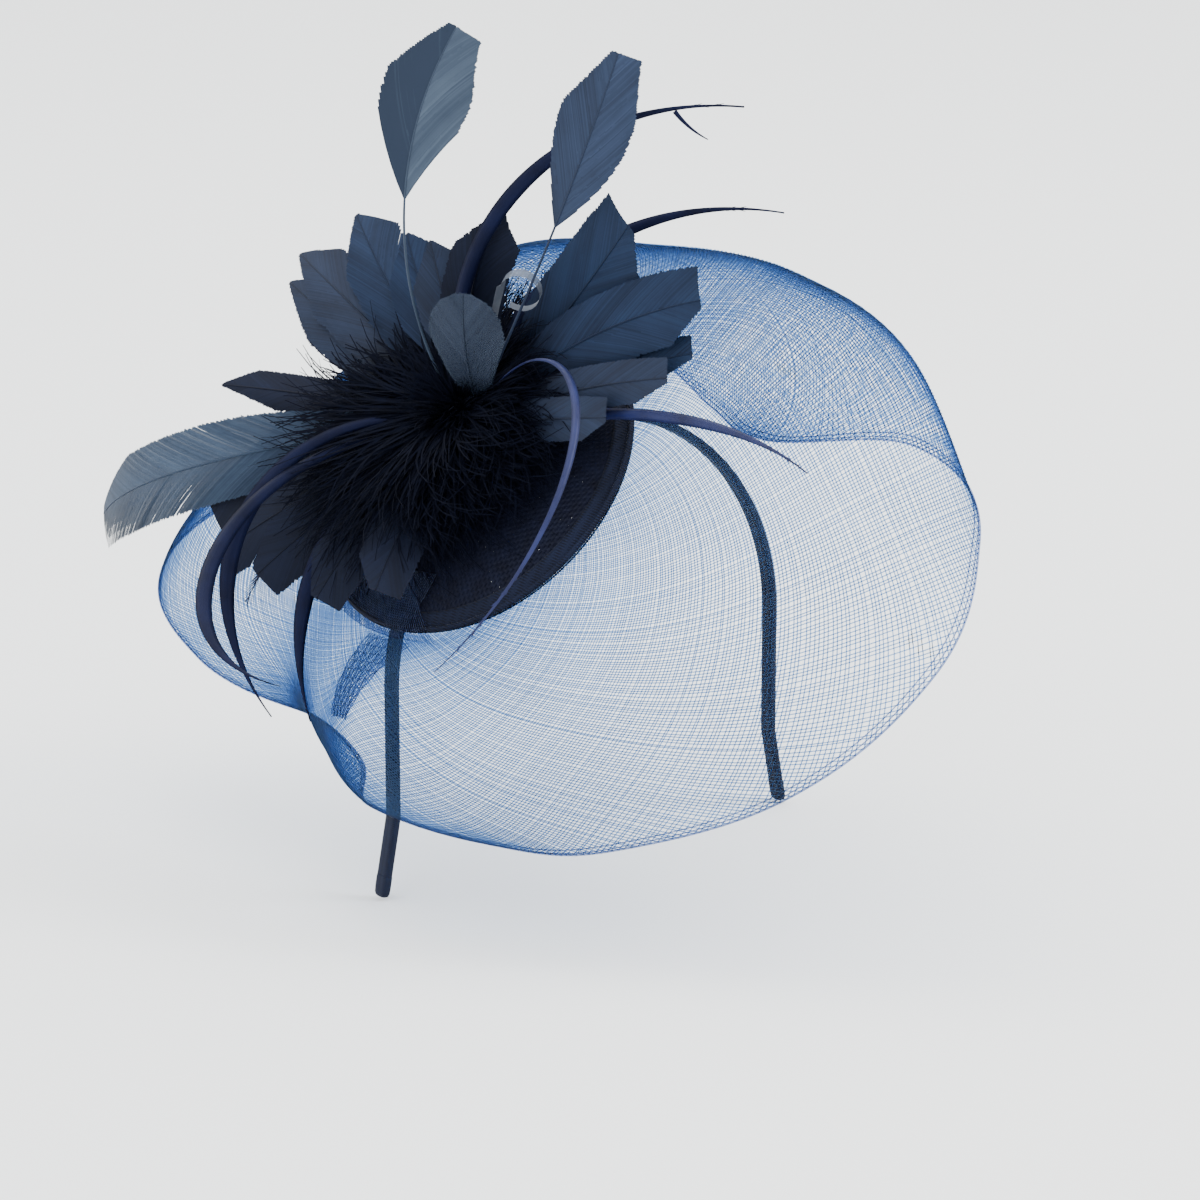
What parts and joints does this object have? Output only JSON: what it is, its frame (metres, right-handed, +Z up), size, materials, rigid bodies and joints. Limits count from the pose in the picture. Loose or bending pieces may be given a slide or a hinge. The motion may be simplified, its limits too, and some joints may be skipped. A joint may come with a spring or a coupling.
{
  "type": "fascinator headpiece",
  "caption": "Fascinator: wide wavy translucent mesh brim on a small straw base with a spray of feathers, held on the head by a springy wrapped Alice band.",
  "frame": {"origin": "centre of the band's crown arc, the middle of the round head that the band grips", "axes": "+Z up towards the crown of the head, +Y towards the back of the head (the way the headpiece slips on is from behind it), -Y the way the face looks, +X the wearer's left"},
  "size_m": [0.2238, 0.2949, 0.2531],
  "materials": {
    "band_fabric": "matt woven bias wrap",
    "band_spring": "flat spring strip, hidden inside the wrap",
    "felt": "matt felt",
    "thread": "sewing thread",
    "sinamay": "open straw weave, slightly stiffened",
    "edge_wire": "hat wire, hidden inside the bound edge",
    "crin": "translucent bias horsehair mesh",
    "crin_fold": "gathered mesh, several layers deep",
    "feather_slate": "cut feather vane with fine barbs",
    "feather_navy": "dark feather vane",
    "feather_violet": "stripped and split feather strand",
    "hackle": "dense short hackles"
  },
  "bodies": {
    "crown": {"band_spring_crown": "band_spring", "band_wrap_crown": "band_fabric", "felt_patch": "felt", "joining_stitches": "thread", "base_layer_lower": "sinamay", "base_layer_upper": "sinamay", "base_edge_wire": "edge_wire", "base_edge_binding": "sinamay", "crin_brim": "crin", "crin_selvedge": "crin_fold", "crin_gather_thread": "thread", "crin_tail": "crin_fold", "spray_mount_disc": "felt", "spray_root_binding": "thread", "hackle_ruff": "hackle", "strand_front": "feather_violet", "biot_1": "feather_violet", "biot_2": "feather_violet", "biot_3": "feather_violet", "ragged_biot": "feather_violet", "back_feather_1": "feather_navy", "back_feather_2": "feather_navy", "back_feather_3": "feather_navy", "back_feather_4": "feather_navy", "back_feather_5": "feather_navy", "back_feather_6": "feather_navy", "dark_centre_feather": "feather_navy", "curled_feather": "feather_navy", "round_centre_feather": "feather_navy", "right_cut_feather_1": "feather_slate", "right_cut_feather_2": "feather_slate", "right_cut_feather_3": "feather_slate", "right_cut_feather_4": "feather_slate", "right_cut_feather_5": "feather_slate", "low_cut_feather_1": "feather_slate", "low_cut_feather_2": "feather_slate", "low_cut_feather_3": "feather_slate", "low_cut_feather_4": "feather_slate", "low_cut_feather_5": "feather_slate"},
    "left_arm": {"band_spring_left": "band_spring", "band_wrap_left": "band_fabric", "band_end_left": "band_fabric"},
    "right_arm": {"band_spring_right": "band_spring", "band_wrap_right": "band_fabric", "band_end_right": "band_fabric"},
    "left_stem": {"stem_feather_left": "feather_slate"},
    "right_stem": {"stem_feather_right": "feather_slate"},
    "top_strand": {"strand_top": "feather_violet"},
    "side_strand": {"strand_side": "feather_violet"},
    "right_strand": {"strand_right": "feather_violet"},
    "left_plume": {"left_cut_feather": "feather_slate"}
  },
  "joints": [
    {"name": "stem_feather_left_sway", "type": "hinge", "parent": "crown", "child": "left_stem", "pos_m": [-0.04352, 0.00705, 0.08128], "axis": [0.158, -0.9865, 0.0429], "range_deg": [-8, 8], "stiffness_Nm_per_rad": 0.02},
    {"name": "stem_feather_right_sway", "type": "hinge", "parent": "crown", "child": "right_stem", "pos_m": [-0.04157, -0.00389, 0.08197], "axis": [-0.4982, -0.6133, -0.6129], "range_deg": [-6, 8], "stiffness_Nm_per_rad": 0.02},
    {"name": "strand_top_sway", "type": "hinge", "parent": "crown", "child": "top_strand", "pos_m": [-0.04153, 0.00396, 0.0845], "axis": [-0.1267, -0.9576, -0.2587], "range_deg": [-4, 8], "stiffness_Nm_per_rad": 0.01},
    {"name": "strand_side_sway", "type": "hinge", "parent": "crown", "child": "side_strand", "pos_m": [-0.03804, -0.00089, 0.08321], "axis": [-0.1384, -0.9527, -0.2707], "range_deg": [-2, 10], "stiffness_Nm_per_rad": 0.01},
    {"name": "strand_right_sway", "type": "hinge", "parent": "crown", "child": "right_strand", "pos_m": [-0.03807, -0.01018, 0.07609], "axis": [-0.7286, -0.0872, 0.6794], "range_deg": [-5, 5], "stiffness_Nm_per_rad": 0.01},
    {"name": "left_cut_feather_sway", "type": "hinge", "parent": "crown", "child": "left_plume", "pos_m": [-0.04647, 0.01005, 0.07409], "axis": [0.4899, 0.6269, 0.6058], "range_deg": [-2, 8], "stiffness_Nm_per_rad": 0.03},
    {"name": "band_arm_left", "type": "hinge", "parent": "crown", "child": "left_arm", "pos_m": [0.06526, 0, 0.02872], "axis": [0, -1, 0], "range_deg": [-8, 3], "stiffness_Nm_per_rad": 1},
    {"name": "band_arm_right", "type": "hinge", "parent": "crown", "child": "right_arm", "pos_m": [-0.06526, 0, 0.02872], "axis": [0, 1, 0], "range_deg": [-8, 3], "stiffness_Nm_per_rad": 1}
  ]
}
